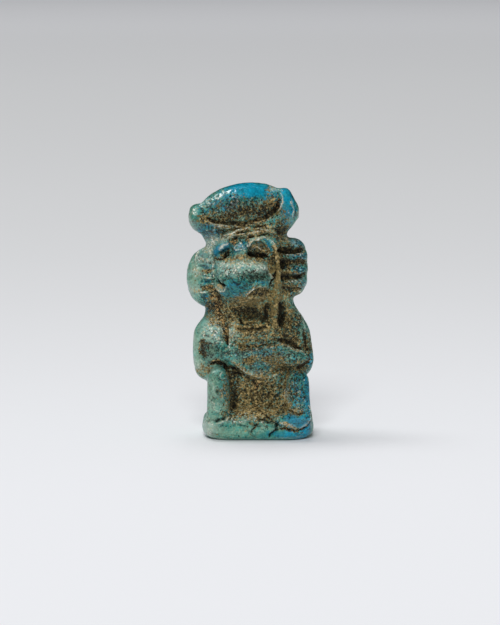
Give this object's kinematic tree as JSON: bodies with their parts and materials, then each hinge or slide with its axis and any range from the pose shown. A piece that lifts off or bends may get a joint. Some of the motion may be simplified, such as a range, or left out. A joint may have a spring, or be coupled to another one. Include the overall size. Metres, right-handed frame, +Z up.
{
  "type": "baboon amulet",
  "caption": "Small moulded faience amulet of a squatting baboon wearing a moon disc in a crescent, on a low base, with a pierced lug behind the head.",
  "frame": {"origin": "on the ground, under the middle of the whole width and depth", "axes": "+Z up along the figure's height, the face towards -Y, the figure's left side towards +X"},
  "size_m": [0.0124, 0.0098, 0.0249],
  "materials": {
    "faience": "worn blue-green glaze, pitted, with brown deposit in the hollows"
  },
  "bodies": {
    "root": {"baboon_amulet": "faience"}
  },
  "joints": []
}
